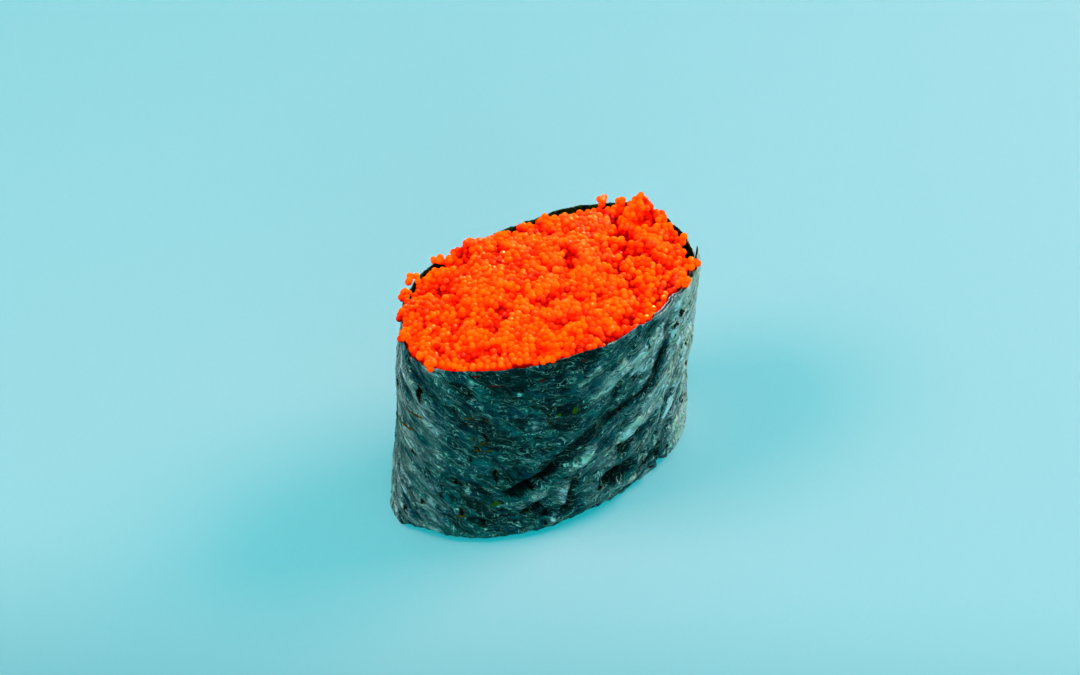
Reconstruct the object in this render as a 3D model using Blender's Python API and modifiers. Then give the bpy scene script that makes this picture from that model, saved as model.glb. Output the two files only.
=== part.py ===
"""Gunkan sushi: a strip of nori wound upright round a bed of rice, with a heap of small roe on top.

Metres, +Z up. The origin is on the resting plane, under the middle of the whole piece. +X runs along the
long axis towards the blunter end, where the strip's outer end lies, and -Y is the side with the long fold.
"""

import math

import bmesh
import bpy
from mathutils import Vector, noise

MM = 0.001

# The band's outline at the rim, to the middle of the nori sheet.
HALF_LENGTH = 24.5 * MM
HALF_WIDTH = 15.1 * MM
RIM_HEIGHT = 35.0 * MM
SKEW = 0.05  # how far the ends stand off the long axis, as a share of the distance along it
SQUARENESS = 2.14  # the exponent of the outline's superellipse
SQUARER_RIGHT = 0.28
SQUARER_BACK = 0.30
LEAN = 1.6 * MM  # the foot lies this far back along X from the rim
FOOT_NARROWING = 0.06  # how much narrower than the rim the foot is, as a share
FOOT_CURVE = 1.6  # the exponent with which the band narrows on the way down
# Where the wall stands out, or in: degrees, height, how far, and its spread in degrees and in millimetres.
SWELLS = [(170, 2.0, 0.7, 25, 9.0), (158, 36.0, -0.8, 18, 9.0)]

# The nori strip.
NORI_THICKNESS = 0.30 * MM
LAYER_PITCH = 0.50 * MM  # from one turn of the sheet to the next
INNER_END = math.radians(-64)  # where the strip starts, under its own last turn
OUTER_END = math.radians(343)
CLIMB = math.radians(14)  # the strip rises over its own start within this turn
LOW_EDGE = 0.2 * MM
RAISED = [(-160, 1.8, 18), (-62, 1.1, 34)]  # where the foot is off the table: degrees, millimetres, degrees
EDGE_WAVE = 0.3 * MM
CORNER_RISE = 0.7 * MM  # the outer end's top corner stands up
CORNER_FLARE = 0.2 * MM  # and curls away from the turn under it
FLARE_DEPTH = 9.0 * MM
STRIP_COLUMNS = 84
STRIP_ROWS = 14

# Dents on the front of the wall, each a line of (x, z) points in millimetres, its depth and its width.
# A dent below zero is a ridge.
DENTS = [
    ([(12.2, 35.0), (9.8, 28.0), (10.8, 23.0)], 0.4, 1.6),
    ([(10.8, 23.0), (5.0, 19.5), (-4.3, 16.2), (-14.5, 12.2)], 0.7, 1.7),
    ([(-1.0, 6.6), (3.0, 8.4), (8.5, 8.8), (12.0, 6.5)], 0.8, 1.6),
    ([(-7.0, 4.4), (-2.0, 5.2), (4.0, 5.2), (11.0, 3.8)], -0.5, 1.4),
]

# What fills the band.
CLEARANCE = 0.55 * MM
FILL_INSET = NORI_THICKNESS / 2 + CLEARANCE
RICE_TOP = 21.5 * MM
RICE_EDGE_RADIUS = 3.0 * MM
ROE_BOTTOM = RICE_TOP + 0.3 * MM
RING_GAP = 2.4 * MM  # between the rings of a filling's sides
RICE_SEGMENTS = 48
ROE_SEGMENTS = 64
ROE_RINGS = 18

# The heap of roe, measured from the rim.
CROWN = 2.2 * MM
EDGE_LEVEL = -0.6 * MM
EDGE_TILT = 0.5 * MM  # the heap's edge is this much lower at the back and the right, and higher opposite
UNEVENNESS = 0.35 * MM
UNEVEN_SIZE = 2.6 * MM
LUMPS = [  # (x, y, height, radius) in millimetres
    (21.2, 6.4, 3.7, 2.9),
    (-5.0, 12.6, 2.6, 2.5),
    (7.5, 2.0, 1.3, 5.5),
    (18.0, -1.5, 1.0, 4.5),
    (-9.5, 0.5, 0.9, 7.0),
    (-19.0, 3.0, 1.3, 3.4),
    (-1.5, -11.0, 0.9, 4.5),
]
CREVICES = [  # a line of (x, y) points in millimetres, its depth and its width
    ([(17.2, 7.0), (13.0, 0.5), (8.5, -5.5), (3.0, -8.8)], 1.7, 1.5),
    ([(5.0, 6.0), (1.5, -0.5), (0.2, -4.0)], 1.5, 1.4),
    ([(4.5, -13.0), (10.5, -11.8)], 1.2, 1.3),
    ([(-16.0, 8.0), (-13.0, 6.5)], 1.1, 1.3),
]


def signed_power(value, power):
    """The power of a number's size, with its sign kept."""
    return math.copysign(abs(value) ** power, value)


def smooth_step(share):
    """0 up to a share of 0, 1 from a share of 1, and an even ramp between."""
    share = min(max(share, 0), 1)
    return share * share * (3 - 2 * share)


def along_line(x, z, points, depth, width):
    """A smooth trough of this depth along an open line. The line and both sizes are in millimetres."""
    here = Vector((x, z)) / MM
    nearest = math.inf
    for start, end in zip(points, points[1:]):
        a, b = Vector(start), Vector(end)
        share = (here - a).dot(b - a) / (b - a).length_squared
        nearest = min(nearest, (here - a.lerp(b, min(max(share, 0), 1))).length)
    return depth * MM * math.exp(-((nearest / width) ** 2))


def apart(angle, degrees):
    """How far an angle is from a direction given in degrees, the shorter way round, in degrees."""
    return (math.degrees(angle) - degrees + 180) % 360 - 180


def outline(angle):
    """A point on the band's outline at the rim: a skewed superellipse, squarer at the back and the right."""
    c, s = math.cos(angle), math.sin(angle)
    exponent = SQUARENESS + SQUARER_RIGHT * c + SQUARER_BACK * s
    x = HALF_LENGTH * signed_power(c, 2 / exponent)
    y = HALF_WIDTH * signed_power(s, 2 / exponent)
    return Vector((x, y + SKEW * x))


def outward(angle):
    """The outline's outward unit normal."""
    step = 0.03
    along = outline(angle + step) - outline(angle - step)
    return Vector((along.y, -along.x)).normalized()


def wall(angle, z, offset=0.0):
    """The middle of the wall at this angle and height, moved outward by offset."""
    place = outline(angle)
    dented = sum(along_line(place.x, z, *dent) for dent in DENTS) if place.y < 0 else 0
    for degrees, height, out, turn, rise in SWELLS:
        distance = math.hypot(apart(angle, degrees) / turn, (z / MM - height) / rise)
        offset += out * MM * math.exp(-(distance**2))
    down = max(1 - z / RIM_HEIGHT, 0)
    narrowed = Vector((place.x - LEAN * down, place.y * (1 - FOOT_NARROWING * down**FOOT_CURVE)))
    narrowed += outward(angle) * (offset - dented)
    return Vector((narrowed.x, narrowed.y, z))


def low_edge(angle):
    """Height of the strip's lower edge, which is raised in two places along the front and wavy all round."""
    z = LOW_EDGE + EDGE_WAVE * (1 + math.sin(5 * angle)) / 2
    for degrees, height, spread in RAISED:
        z += height * MM * math.exp(-((apart(angle, degrees) / spread) ** 2))
    return z


def high_edge(angle):
    """Height of the strip's upper edge."""
    corner = CORNER_RISE * smooth_step(1 - (OUTER_END - angle) / CLIMB)
    return RIM_HEIGHT + EDGE_WAVE * math.sin(3 * angle + 1) + corner


def layer_offset(angle, z):
    """How far out the strip lies, once it has climbed over its own inner end."""
    climbed = LAYER_PITCH * smooth_step((angle - (INNER_END + 2 * math.pi - CLIMB)) / CLIMB)
    near_corner = smooth_step(1 - (OUTER_END - angle) / CLIMB) * smooth_step(1 - (RIM_HEIGHT - z) / FLARE_DEPTH)
    return climbed + CORNER_FLARE * near_corner


def heap_height(x, y):
    """Height of the roe's surface over the point (x, y)."""
    across, deep = x / HALF_LENGTH, (y - SKEW * x) / HALF_WIDTH
    z = RIM_HEIGHT + EDGE_LEVEL - EDGE_TILT * (across + deep) / 2
    z += CROWN * max(1 - across**2 - deep**2, 0)
    for lump_x, lump_y, height, radius in LUMPS:
        distance = math.hypot(x / MM - lump_x, y / MM - lump_y)
        z += height * MM * math.exp(-((distance / radius) ** 2))
    z -= sum(along_line(x, y, *crevice) for crevice in CREVICES)
    return z + UNEVENNESS * noise.noise(Vector((x, y, 0)) / UNEVEN_SIZE)


def material(name, colour, roughness, subsurface=0.0):
    """A Principled material of one colour."""
    made = bpy.data.materials.new(name)
    made.use_nodes = True
    shader = made.node_tree.nodes["Principled BSDF"]
    shader.inputs["Base Color"].default_value = (*colour, 1)
    shader.inputs["Roughness"].default_value = roughness
    shader.inputs["Metallic"].default_value = 0.0
    shader.inputs["Subsurface Weight"].default_value = subsurface
    made.diffuse_color = (*colour, 1)
    return made


def finished_object(name, shape, surface, collection):
    """Makes the bmesh a named object with its material, in the collection."""
    mesh = bpy.data.meshes.new(name)
    bmesh.ops.recalc_face_normals(shape, faces=shape.faces)
    shape.to_mesh(mesh)
    shape.free()
    mesh.materials.append(surface)
    mesh.shade_smooth()
    made = bpy.data.objects.new(name, mesh)
    collection.objects.link(made)
    return made


def build_nori(collection):
    """The strip: a flat grid wound one turn and an overlap round the outline, then given its thickness."""
    sheet = bmesh.new()
    bmesh.ops.create_grid(sheet, x_segments=STRIP_COLUMNS, y_segments=STRIP_ROWS, size=0.5)
    for vertex in sheet.verts:
        angle = INNER_END + (OUTER_END - INNER_END) * (vertex.co.x + 0.5)
        up = vertex.co.y + 0.5
        z = low_edge(angle) * (1 - up) + high_edge(angle) * up
        vertex.co = wall(angle, z, layer_offset(angle, z))
    surface = material("nori", (0.012, 0.040, 0.036), 0.35)
    strip = finished_object("nori_wrap", sheet, surface, collection)
    thickness = strip.modifiers.new("sheet thickness", "SOLIDIFY")
    thickness.thickness = NORI_THICKNESS
    thickness.offset = 0.0
    thickness.use_even_offset = True
    return strip


def build_plug(name, rings, segments, surface, collection):
    """A closed filling inside the band: a UV sphere whose rings are moved to the given places, top to bottom.

    A ring is (share, height): how far it reaches towards the wall, and its height, which may also be a
    function of x and y.
    """
    plug = bmesh.new()
    bmesh.ops.create_uvsphere(plug, u_segments=segments, v_segments=len(rings) - 1, radius=1)
    for vertex in plug.verts:
        polar = math.acos(max(-1, min(1, vertex.co.z)))
        share, height = rings[round(polar / math.pi * (len(rings) - 1))]
        angle = math.atan2(vertex.co.y, vertex.co.x)
        edge = wall(angle, RIM_HEIGHT if callable(height) else height, -FILL_INSET)
        x, y = share * edge.x, share * edge.y
        vertex.co = Vector((x, y, height(x, y) if callable(height) else height))
    return finished_object(name, plug, surface, collection)


def side_rings(top, bottom):
    """Evenly spaced rings down a filling's side, from top to bottom."""
    count = math.ceil((top - bottom) / RING_GAP)
    return [(1.0, top + (bottom - top) * step / count) for step in range(count + 1)]


def build_rice(collection):
    """The rice bed: flat on top and underneath, with a rounded lower edge."""
    rings = [(share, RICE_TOP) for share in (0.0, 0.5, 0.94)]
    rings += side_rings(RICE_TOP - 1.0 * MM, RICE_EDGE_RADIUS + 0.5 * MM)
    for turn in (0, 22, 45, 68, 90):
        inward = RICE_EDGE_RADIUS * (1 - math.cos(math.radians(turn)))
        height = RICE_EDGE_RADIUS * (1 - math.sin(math.radians(turn)))
        rings.append((1 - inward / HALF_WIDTH, height))
    rings += [(share, 0.0) for share in (0.4, 0.0)]
    surface = material("rice", (0.80, 0.77, 0.68), 0.45, 0.3)
    return build_plug("rice_bed", rings, RICE_SEGMENTS, surface, collection)


def build_roe(collection):
    """The roe: a heap with lumps and crevices above, and straight sides down inside the band."""
    rings = [(ring / ROE_RINGS, heap_height) for ring in range(ROE_RINGS + 1)]
    rings += side_rings(RIM_HEIGHT - 2.5 * MM, ROE_BOTTOM)
    rings += [(0.5, ROE_BOTTOM), (0.0, ROE_BOTTOM)]
    surface = material("roe", (0.95, 0.11, 0.004), 0.18, 0.5)
    return build_plug("roe_heap", rings, ROE_SEGMENTS, surface, collection)


def centre_on_origin(objects):
    """Moves the meshes together so that the origin lies under the middle of their common box."""
    bpy.context.view_layer.update()
    graph = bpy.context.evaluated_depsgraph_get()
    corners = [Vector(corner) for made in objects for corner in made.evaluated_get(graph).bound_box]
    middle = Vector((0, 0, 0))
    for axis in (0, 1):
        values = [corner[axis] for corner in corners]
        middle[axis] = (min(values) + max(values)) / 2
    for made in objects:
        for vertex in made.data.vertices:
            vertex.co -= middle


def main():
    for old in list(bpy.data.objects):
        bpy.data.objects.remove(old)
    collection = bpy.data.collections.new("gunkan_sushi")
    bpy.context.scene.collection.children.link(collection)
    parts = [build_nori(collection), build_rice(collection), build_roe(collection)]
    centre_on_origin(parts)


main()
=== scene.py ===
"""The looks of a gunkan sushi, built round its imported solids.

A strip of nori stands on edge, wound round a bed of rice and filled to above its rim with small roe. The
frame gives every place in metres, +Z up. Sizes of the food itself are written in millimetres.
"""

import logging
import math
from collections.abc import Callable, Mapping, Sequence
from dataclasses import dataclass, field
from enum import Enum

import bmesh
import bpy
import numpy as np
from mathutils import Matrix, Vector, noise


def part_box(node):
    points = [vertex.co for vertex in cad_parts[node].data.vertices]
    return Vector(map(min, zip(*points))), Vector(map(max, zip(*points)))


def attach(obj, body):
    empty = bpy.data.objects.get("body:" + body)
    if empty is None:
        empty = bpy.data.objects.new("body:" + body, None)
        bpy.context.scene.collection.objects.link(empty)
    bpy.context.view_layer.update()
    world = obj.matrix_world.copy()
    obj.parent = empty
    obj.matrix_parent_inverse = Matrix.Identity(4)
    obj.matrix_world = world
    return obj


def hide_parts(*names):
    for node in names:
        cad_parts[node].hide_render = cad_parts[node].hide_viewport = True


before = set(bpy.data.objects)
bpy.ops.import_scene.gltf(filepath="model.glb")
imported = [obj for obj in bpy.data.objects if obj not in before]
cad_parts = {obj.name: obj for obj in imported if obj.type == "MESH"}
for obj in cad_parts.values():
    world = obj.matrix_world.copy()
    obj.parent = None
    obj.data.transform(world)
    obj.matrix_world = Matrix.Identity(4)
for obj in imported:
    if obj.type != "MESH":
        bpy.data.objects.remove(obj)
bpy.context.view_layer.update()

log = logging.getLogger("gunkan")

MM = 0.001
BODY = "root"
BAKE_MAP = "OFBake"
LAMP_COLOUR = (1.0, 0.82, 0.80)
ROOM_COLOUR = (0.02, 0.95, 1.0)

Array = np.ndarray
Colour = tuple[float, float, float]
Line = tuple[tuple[float, float], ...]


def rows_of(kind: Callable[..., object], *rows: Sequence[float]) -> tuple:
    """One of this kind for each row of its values."""
    return tuple(kind(*row) for row in rows)


def smooth_step(share: Array) -> Array:
    """An even ramp from 0, up to a share of 0, to 1, from a share of 1."""
    share = np.clip(share, 0, 1)
    return share * share * (3 - 2 * share)


def apart(angle: Array, degrees: float) -> Array:
    """How far angles are from a direction given in degrees, the shorter way round, in degrees."""
    return (np.degrees(angle) - degrees + 180) % 360 - 180


def bump_at(distance: Array, width: float) -> Array:
    """A smooth bump of height 1 at distance 0, about as wide as width on each side."""
    return np.exp(-((distance / width) ** 2))


def noise_at(places: Array, scales: Sequence[float], seed: float = 0.0) -> Array:
    """Smooth noise at many places.

    Args:
        places: Rows of three coordinates.
        scales: The size of the noise's grain along each coordinate.
        seed: An offset that gives a different noise.

    Returns:
        One value from -1 to 1 for each row.
    """
    at = places / np.asarray(scales) + seed
    return np.fromiter((noise.noise(row) for row in at.tolist()), float, len(at))


def nearest_on_line(x: Array, y: Array, line: Line) -> tuple[Array, Array]:
    """How far points are from an open line, and how far along it they are.

    Args:
        x: First coordinates of the points.
        y: Second coordinates of the points.
        line: The line's points.

    Returns:
        The signed distance, positive on the line's left, and the share of the line's length.
    """
    ends = np.array(line, float)
    lengths = np.hypot(*np.diff(ends, axis=0).T)
    before = np.concatenate([[0], np.cumsum(lengths)])
    best = np.full(np.shape(x), np.inf)
    signed, along = np.zeros(np.shape(x)), np.zeros(np.shape(x))
    for index, (start, end) in enumerate(zip(ends, ends[1:])):
        way = (end - start) / lengths[index]
        ahead = np.clip((x - start[0]) * way[0] + (y - start[1]) * way[1], 0, lengths[index])
        off_x, off_y = x - start[0] - ahead * way[0], y - start[1] - ahead * way[1]
        distance = np.hypot(off_x, off_y)
        closer = distance < best
        best = np.where(closer, distance, best)
        side = np.where(way[0] * off_y - way[1] * off_x >= 0, 1.0, -1.0)
        signed = np.where(closer, side * distance, signed)
        along = np.where(closer, (before[index] + ahead) / before[-1], along)
    return signed, along


def operator(operation: str, swapped: bool = False) -> "Callable[[Wire, Wire | float], Wire]":
    """A Python operator on wires that adds a Math node, with its terms swapped where it is reflected.

    Args:
        operation: The Math node's operation.
        swapped: Whether the other term comes first.

    Returns:
        The operator.
    """

    def act(self: "Wire", other: "Wire | float") -> "Wire":
        """The node's result."""
        return self.math(operation, *((other, self) if swapped else (self, other)))

    return act


class Wire:
    """A value on its way through a material's nodes. Python's operators on it add Math nodes."""

    def __init__(self, sheet: "NodeSheet", socket: bpy.types.NodeSocket) -> None:
        """Keeps the socket and the sheet that it is on."""
        self.sheet, self.socket = sheet, socket

    def math(self, operation: str, *terms: "Wire | float") -> "Wire":
        """A Math node on these terms."""
        return self.sheet.node("ShaderNodeMath", {"operation": operation}, dict(enumerate(terms)))

    def __abs__(self) -> "Wire":
        """This without its sign."""
        return self.math("ABSOLUTE", self)

    __add__ = __radd__ = operator("ADD")
    __sub__ = operator("SUBTRACT")
    __rsub__ = operator("SUBTRACT", swapped=True)
    __mul__ = __rmul__ = operator("MULTIPLY")
    most = operator("MAXIMUM")


Term = Wire | float | Sequence[float]


class NodeSheet:
    """A new material's nodes."""

    def __init__(self, name: str) -> None:
        """Makes an empty material of this name.

        Args:
            name: The material's name.
        """
        self.material = bpy.data.materials.new(name)
        self.material.use_nodes = True
        self.tree = self.material.node_tree
        self.tree.nodes.clear()

    def node(
        self,
        kind: str,
        settings: Mapping[str, object],
        inputs: Mapping[str | int, Term],
        output: str | int = 0,
    ) -> Wire:
        """Adds a node.

        Args:
            kind: The node's type.
            settings: The node's own properties, which are set first.
            inputs: A link or a value for each socket named.
            output: The socket that the result is read from.

        Returns:
            The output.
        """
        made = self.tree.nodes.new(kind)
        for name, value in settings.items():
            setattr(made, name, value)
        for key, value in inputs.items():
            if isinstance(value, Wire):
                self.tree.links.new(value.socket, made.inputs[key])
            else:
                made.inputs[key].default_value = value
        return Wire(self, made.outputs[output])

    def attribute(self, name: str, output: str = "Fac") -> Wire:
        """What the mesh holds under this name."""
        return self.node("ShaderNodeAttribute", {"attribute_name": name}, {}, output)

    def vector(self, operation: str, a: Term, b: Term, output: str | int = 0) -> Wire:
        """A Vector Math node on two vectors."""
        return self.node("ShaderNodeVectorMath", {"operation": operation}, {0: a, 1: b}, output)

    def grain(
        self, place: Wire, scale: Colour, detail: float, roughness: float = 0.5, seed: float = 0.0
    ) -> Wire:
        """Noise.

        Args:
            place: Where it is read.
            scale: How many grains there are along each axis in one unit of the place.
            detail: How much finer noise it has.
            roughness: How strong the finer noise is.
            seed: An offset that gives a different noise.

        Returns:
            Values from 0 to 1.
        """
        at = self.vector("MULTIPLY", place, scale)
        if seed:
            at = self.vector("ADD", at, (seed, seed, seed))
        values = {"Vector": at, "Scale": 1.0, "Detail": detail, "Roughness": roughness}
        return self.node("ShaderNodeTexNoise", {}, values, "Fac")

    def ramp(self, value: Wire, low: float, high: float) -> Wire:
        """An even ramp from 0, where the value is low, to 1, where it is high."""
        settings = {"interpolation_type": "SMOOTHSTEP"}
        return self.node("ShaderNodeMapRange", settings, {0: value, 1: low, 2: high})

    def mix(self, share: Wire | float, a: Wire | Colour, b: Wire | Colour) -> Wire:
        """A colour that goes from a to b as share goes from 0 to 1."""
        ends = [end if isinstance(end, Wire) else (*end, 1.0) for end in (a, b)]
        return self.node("ShaderNodeMix", {"data_type": "RGBA"}, {0: share, 6: ends[0], 7: ends[1]}, 2)

    def bump(self, height: Wire, distance: float, strength: float) -> Wire:
        """A normal tilted by a height from 0 to 1, which stands for this distance in metres."""
        values = {"Height": height, "Distance": distance, "Strength": strength}
        return self.node("ShaderNodeBump", {}, values)

    def surface(self, **inputs: Term) -> bpy.types.Material:
        """Ends the material in a Principled shader.

        Args:
            inputs: A link or a value for each socket, named with _ for a space.

        Returns:
            The material.
        """
        named = {name.replace("_", " "): value for name, value in inputs.items()}
        shader = self.node("ShaderNodeBsdfPrincipled", {"subsurface_method": "RANDOM_WALK"}, named)
        out = self.tree.nodes.new("ShaderNodeOutputMaterial")
        self.tree.links.new(shader.socket, out.inputs["Surface"])
        return self.material


@dataclass
class MeshData:
    """A mesh on its way to becoming a piece.

    Attributes:
        places: Rows of x, y, z in metres.
        faces: Lists of point numbers.
        maps: For each corner, its place on the bake map.
        values: Named numbers, one for each point, or three for a vector.
    """

    places: Array
    faces: list[Sequence[int]]
    maps: Array | None = None
    values: dict[str, Array] = field(default_factory=dict)

    def piece(
        self, name: str, material: bpy.types.Material, slot: str, stands_for: str = ""
    ) -> bpy.types.Object:
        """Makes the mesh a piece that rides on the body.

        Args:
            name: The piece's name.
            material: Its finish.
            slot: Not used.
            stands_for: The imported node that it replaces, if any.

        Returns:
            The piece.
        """
        mesh = bpy.data.meshes.new(name)
        mesh.from_pydata(self.places.tolist(), [], self.faces)
        for key, value in self.values.items():
            kind = "FLOAT_VECTOR" if value.ndim == 2 else "FLOAT"
            held = mesh.attributes.new(key, kind, "POINT")
            held.data.foreach_set("vector" if value.ndim == 2 else "value", value.astype(np.float32).ravel())
        if self.maps is not None:
            layer = mesh.uv_layers.new(name=BAKE_MAP)
            layer.uv.foreach_set("vector", self.maps.astype(np.float32).ravel())
        mesh.shade_smooth()
        mesh.materials.append(material)
        made = bpy.data.objects.new(name, mesh)
        bpy.context.scene.collection.objects.link(made)
        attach(made, BODY)
        if stands_for:
            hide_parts(stands_for)
        mesh.calc_loop_triangles()
        log.info("%s: %d triangles, rides on %s", name, len(mesh.loop_triangles), BODY)
        return made


def ball(subdivisions: int, radius: float) -> tuple[Array, Array]:
    """A faceted ball.

    Args:
        subdivisions: How fine it is.
        radius: Its radius.

    Returns:
        Its points, and its faces as rows of three point numbers.
    """
    shape = bmesh.new()
    bmesh.ops.create_icosphere(shape, subdivisions=subdivisions, radius=radius)
    places = np.array([vertex.co for vertex in shape.verts])
    faces = np.array([[vertex.index for vertex in face.verts] for face in shape.faces])
    shape.free()
    return places, faces


def cell_map(places: Array, faces: Array, count: int) -> Array:
    """A bake map for many copies of one shape, with each copy in its own square.

    Args:
        places: The shape's points.
        faces: Its faces, as rows of three.
        count: How many copies there are.

    Returns:
        The place on the map of each corner of each copy.
    """
    side = math.ceil(math.sqrt(count))
    margin, reach = 0.04, 0.95
    way = places - places.mean(axis=0)
    way = way / np.linalg.norm(way, axis=1, keepdims=True)
    corner = way[faces].reshape(-1, 3)
    upper = np.repeat(way[faces].mean(axis=1)[:, 2] >= 0, 3)
    flat = corner[:, :2] / (1 + np.abs(corner[:, 2:3])) * reach
    half = np.stack([flat[:, 0] / 4 + np.where(upper, 0.25, 0.75), flat[:, 1] / 2 + 0.5], axis=1)
    cell = np.arange(count)
    origin = np.stack([cell % side, cell // side], axis=1)
    return ((origin[:, None] + margin + (1 - 2 * margin) * half[None]) / side).reshape(-1, 2)


def scattered(
    shape: tuple[Array, Array], turns: Array, centres: Array, values: dict[str, Array]
) -> MeshData:
    """Many copies of one shape in one mesh.

    Args:
        shape: Points and faces of the shape.
        turns: For each copy, a matrix that turns and scales it.
        centres: For each copy, its place.
        values: For each copy, named numbers that all its points hold.

    Returns:
        The mesh.
    """
    places, faces = shape
    count = len(centres)
    moved = np.einsum("nij,pj->npi", turns, places) + centres[:, None]
    every = faces[None] + (np.arange(count) * len(places))[:, None, None]
    held = {name: np.repeat(value, len(places)) for name, value in values.items()}
    return MeshData(moved.reshape(-1, 3), every.reshape(-1, 3).tolist(), cell_map(places, faces, count), held)


def random_turns(random: np.random.Generator, count: int) -> Array:
    """Rotation matrices that point every way alike.

    Args:
        random: Where the draws come from.
        count: How many there are.

    Returns:
        A matrix for each.
    """
    spin = random.normal(size=(count, 4))
    w, x, y, z = (spin / np.linalg.norm(spin, axis=1, keepdims=True)).T
    rows = [
        [1 - 2 * (y * y + z * z), 2 * (x * y - z * w), 2 * (x * z + y * w)],
        [2 * (x * y + z * w), 1 - 2 * (x * x + z * z), 2 * (y * z - x * w)],
        [2 * (x * z - y * w), 2 * (y * z + x * w), 1 - 2 * (x * x + y * y)],
    ]
    return np.moveaxis(np.array(rows), 2, 0)


@dataclass(frozen=True)
class Fold:
    """A fold in the front of the wall along a line of (x, z) points, from right to left. In millimetres.

    Attributes:
        line: The fold's line, under which the sheet is pressed in.
        depth: How far it is pressed in. Below zero it stands out.
        width: How wide the groove is to each side of its middle.
        lip: How far the sheet stands out just above the line.
        reach: How far up from the line it does so.
        droop: How far that lip hangs down over the groove.
        shade: How much painted shade darkens the groove's colour, from 0 to 1.
    """

    line: Line
    depth: float
    width: float
    lip: float = 0.0
    reach: float = 2.5
    droop: float = 0.0
    shade: float = 0.0

    def shifts(self, x: Array, z: Array) -> tuple[Array, Array, Array]:
        """How the fold moves the wall.

        Args:
            x: Places along the wall.
            z: Heights.

        Returns:
            The shift outward, the shift up, and how much painted shade darkens the place.
        """
        below, along = nearest_on_line(x, z, self.line)
        taper = smooth_step(np.minimum(along, 1 - along) / 0.25)
        groove = taper * bump_at(below - 0.8 * self.width, self.width)
        edge = smooth_step(1 - below / (0.6 * self.width))
        above = taper * bump_at(np.minimum(below, 0), self.reach) * edge
        return self.lip * above - self.depth * groove, -self.droop * above, self.shade * groove


@dataclass(frozen=True)
class Swell:
    """A place where the wall stands out, or in: its direction and height, how far, and its spread."""

    degrees: float
    height: float
    out: float
    turn: float
    rise: float


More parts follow.
